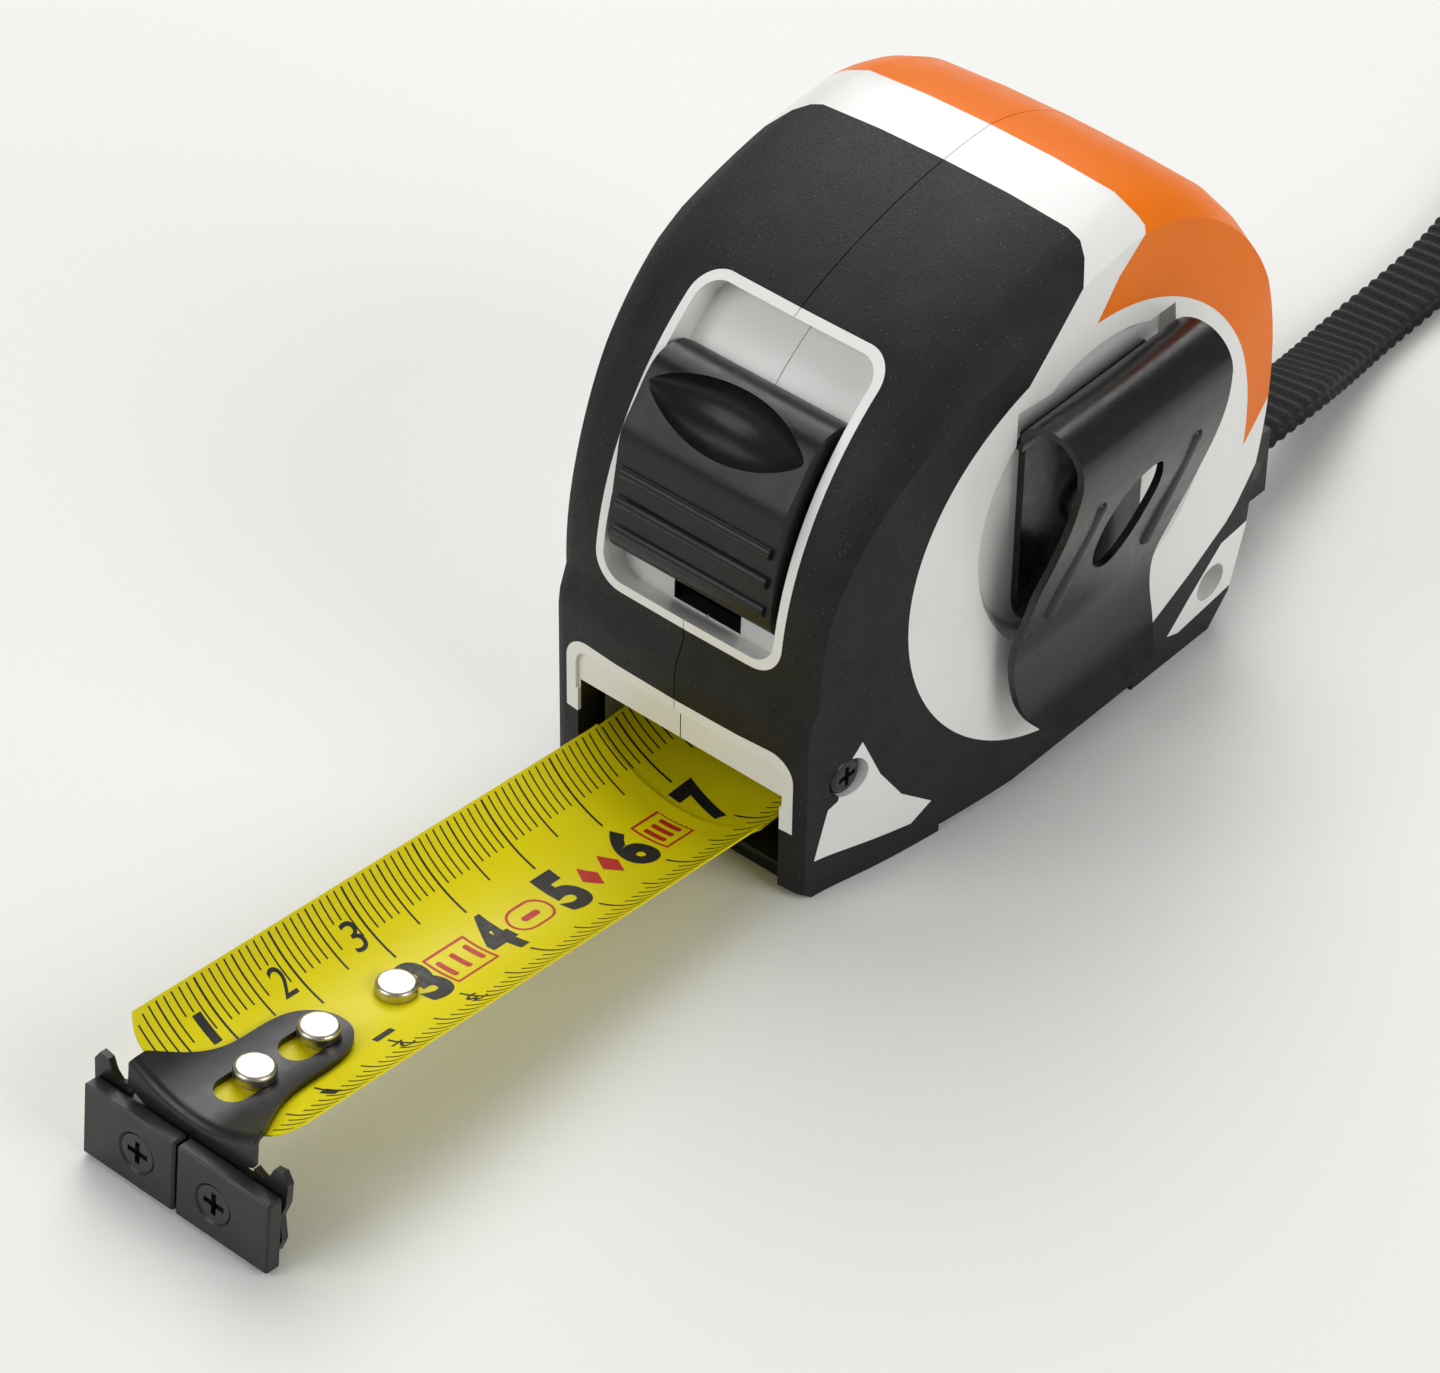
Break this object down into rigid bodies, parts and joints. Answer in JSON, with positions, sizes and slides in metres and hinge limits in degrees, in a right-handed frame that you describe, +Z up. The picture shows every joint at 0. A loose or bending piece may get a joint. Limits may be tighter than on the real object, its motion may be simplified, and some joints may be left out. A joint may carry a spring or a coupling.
{
  "type": "tape measure",
  "caption": "Pocket tape measure with a D-shaped two-colour case, thumb lock, sprung belt clip, magnetic end hook and a woven wrist strap, with a short length of blade drawn out.",
  "frame": {"origin": "middle of the flat base of the case, on the plane it stands on", "axes": "+Z up, the blade leaves the case towards -Y, the belt clip is on the +X side"},
  "size_m": [0.0509, 0.2945, 0.0624],
  "materials": {
    "white_plastic": "satin",
    "black_rubber": "matte",
    "orange_plastic": "gloss",
    "yellow_blade": "satin",
    "black_steel": "satin",
    "magnet_block": "satin",
    "black_screw": "satin",
    "bright_rivet": "satin",
    "spindle_steel": "satin",
    "drum_plastic": "satin",
    "spring_steel": "satin",
    "clip_steel": "satin",
    "button_plastic": "gloss",
    "brake_rubber": "matte",
    "lug_plastic": "satin",
    "strap_webbing": "matte"
  },
  "bodies": {
    "case": {"case_half_right": "white_plastic", "case_half_left": "white_plastic", "grip_right": "black_rubber", "grip_left": "black_rubber", "cover_right": "orange_plastic", "cover_left": "orange_plastic", "blade_inner_run": "yellow_blade", "spindle": "spindle_steel", "return_spring": "spring_steel", "case_screws": "black_screw", "clip_screw": "black_screw", "belt_clip_plate": "clip_steel", "strap_lug": "lug_plastic", "strap_pin": "black_screw", "wrist_strap": "strap_webbing"},
    "blade_foot": {"blade_root": "yellow_blade"},
    "drawn_blade": {"blade": "yellow_blade", "blade_rivets": "bright_rivet", "blade_under_plate": "yellow_blade"},
    "hook": {"end_hook": "black_steel", "hook_magnet_left": "magnet_block", "hook_magnet_right": "magnet_block", "magnet_screws": "black_screw"},
    "reel": {"drum": "drum_plastic", "blade_coil": "yellow_blade"},
    "thumb_lock": {"lock_button": "button_plastic", "lock_tongue": "button_plastic"},
    "brake": {"brake_shoe": "brake_rubber"},
    "clip_leaf": {"belt_clip_leaf": "clip_steel"}
  },
  "joints": [
    {"name": "blade_slide", "type": "slide", "parent": "case", "child": "blade_foot", "axis": [0, 0.9981, 0.0609], "range_m": [0, 0.0635]},
    {"name": "blade_tilt", "type": "hinge", "parent": "blade_foot", "child": "drawn_blade", "pos_m": [0, -0.0345, 0.0076], "axis": [1, 0, 0], "range_deg": [0, 6.25]},
    {"name": "hook_play", "type": "slide", "parent": "drawn_blade", "child": "hook", "axis": [0, 0.9942, -0.108], "range_m": [0, 0.0008]},
    {"name": "reel_turn", "type": "hinge", "parent": "case", "child": "reel", "pos_m": [0, 0.003, 0.032], "axis": [1, 0, 0], "range_deg": [0, 189]},
    {"name": "lock_slide", "type": "hinge", "parent": "case", "child": "thumb_lock", "pos_m": [0, 0.002, 0.026], "axis": [-1, 0, 0], "range_deg": [0, 9.5]},
    {"name": "brake_release", "type": "slide", "parent": "case", "child": "brake", "axis": [0, -1, 0], "range_m": [0, 0.0007]},
    {"name": "clip_spring", "type": "hinge", "parent": "case", "child": "clip_leaf", "pos_m": [0.02465, 0.0035, 0.0446], "axis": [0, -1, 0], "range_deg": [0, 7], "stiffness_Nm_per_rad": 0.8}
  ],
  "couplings": [
    {"joint": "blade_tilt", "follows": "blade_slide", "rad_per_m": 1.7041},
    {"joint": "reel_turn", "follows": "blade_slide", "rad_per_m": 51.81},
    {"joint": "brake_release", "follows": "lock_slide", "m_per_rad": 0.00418}
  ]
}
